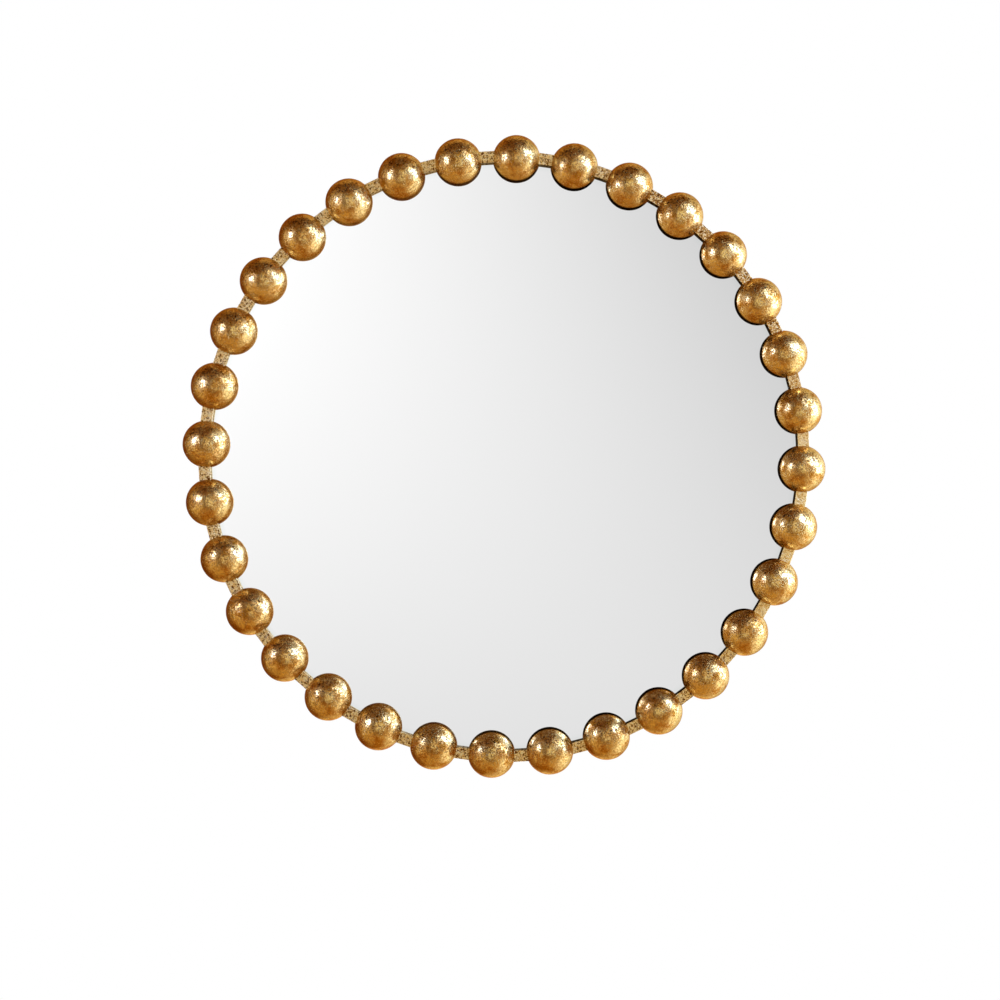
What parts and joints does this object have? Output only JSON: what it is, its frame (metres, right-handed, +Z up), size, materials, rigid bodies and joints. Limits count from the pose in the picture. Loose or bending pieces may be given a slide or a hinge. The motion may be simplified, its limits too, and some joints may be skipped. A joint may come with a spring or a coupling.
{
  "type": "beaded wall mirror",
  "caption": "Round flat wall mirror framed by a ring of gold-leafed beads on a flat steel bar, with a fibreboard back, strap hangers and rubber bumpers.",
  "frame": {"origin": "on the wall, midway between the two hooks that carry the mirror, at the height where they bear on the hanger loops when these are turned up", "axes": "+X to the right of someone who faces the mirror, +Y into the wall, +Z up; the glass faces -Y"},
  "size_m": [0.6978, 0.0479, 0.6978],
  "materials": {
    "leafed_bead": "antique gold leaf on cast resin, brown glaze, gloss lacquer",
    "leafed_bar": "crinkled pale gold leaf on flat steel bar, satin lacquer",
    "bronzed_hoop": "matte bronze paint",
    "mirror_glass": "silvered clear glass",
    "black_foam": "matte",
    "fibreboard": "bare medium-density fibreboard",
    "zinc_plate": "bright zinc plate",
    "black_rubber": "matte"
  },
  "bodies": {
    "mirror": {"bead_01": "leafed_bead", "bead_02": "leafed_bead", "bead_03": "leafed_bead", "bead_04": "leafed_bead", "bead_05": "leafed_bead", "bead_06": "leafed_bead", "bead_07": "leafed_bead", "bead_08": "leafed_bead", "bead_09": "leafed_bead", "bead_10": "leafed_bead", "bead_11": "leafed_bead", "bead_12": "leafed_bead", "bead_13": "leafed_bead", "bead_14": "leafed_bead", "bead_15": "leafed_bead", "bead_16": "leafed_bead", "bead_17": "leafed_bead", "bead_18": "leafed_bead", "bead_19": "leafed_bead", "bead_20": "leafed_bead", "bead_21": "leafed_bead", "bead_22": "leafed_bead", "bead_23": "leafed_bead", "bead_24": "leafed_bead", "bead_25": "leafed_bead", "bead_26": "leafed_bead", "bead_27": "leafed_bead", "bead_28": "leafed_bead", "bead_29": "leafed_bead", "bead_30": "leafed_bead", "bead_31": "leafed_bead", "bead_32": "leafed_bead", "bar_ring": "leafed_bar", "rear_hoop": "bronzed_hoop", "foam_gasket": "black_foam", "mirror_glass": "mirror_glass", "backing_board": "fibreboard", "board_tab_1": "zinc_plate", "board_tab_2": "zinc_plate", "board_tab_3": "zinc_plate", "board_tab_4": "zinc_plate", "board_tab_5": "zinc_plate", "board_tab_6": "zinc_plate", "board_tab_7": "zinc_plate", "board_tab_8": "zinc_plate", "left_hanger_strap": "zinc_plate", "left_hanger_screw_1": "zinc_plate", "left_hanger_screw_2": "zinc_plate", "right_hanger_strap": "zinc_plate", "right_hanger_screw_1": "zinc_plate", "right_hanger_screw_2": "zinc_plate", "wall_bumper_1": "black_rubber", "wall_bumper_2": "black_rubber", "wall_bumper_3": "black_rubber", "wall_bumper_4": "black_rubber"},
    "left_loop": {"left_hanger_loop": "zinc_plate"},
    "right_loop": {"right_hanger_loop": "zinc_plate"}
  },
  "joints": [
    {"name": "left_loop_swing", "type": "hinge", "parent": "mirror", "child": "left_loop", "pos_m": [-0.2, -0.004, -0.017], "axis": [1, 0, 0], "range_deg": [0, 180]},
    {"name": "right_loop_swing", "type": "hinge", "parent": "mirror", "child": "right_loop", "pos_m": [0.2, -0.004, -0.017], "axis": [1, 0, 0], "range_deg": [0, 180]}
  ]
}
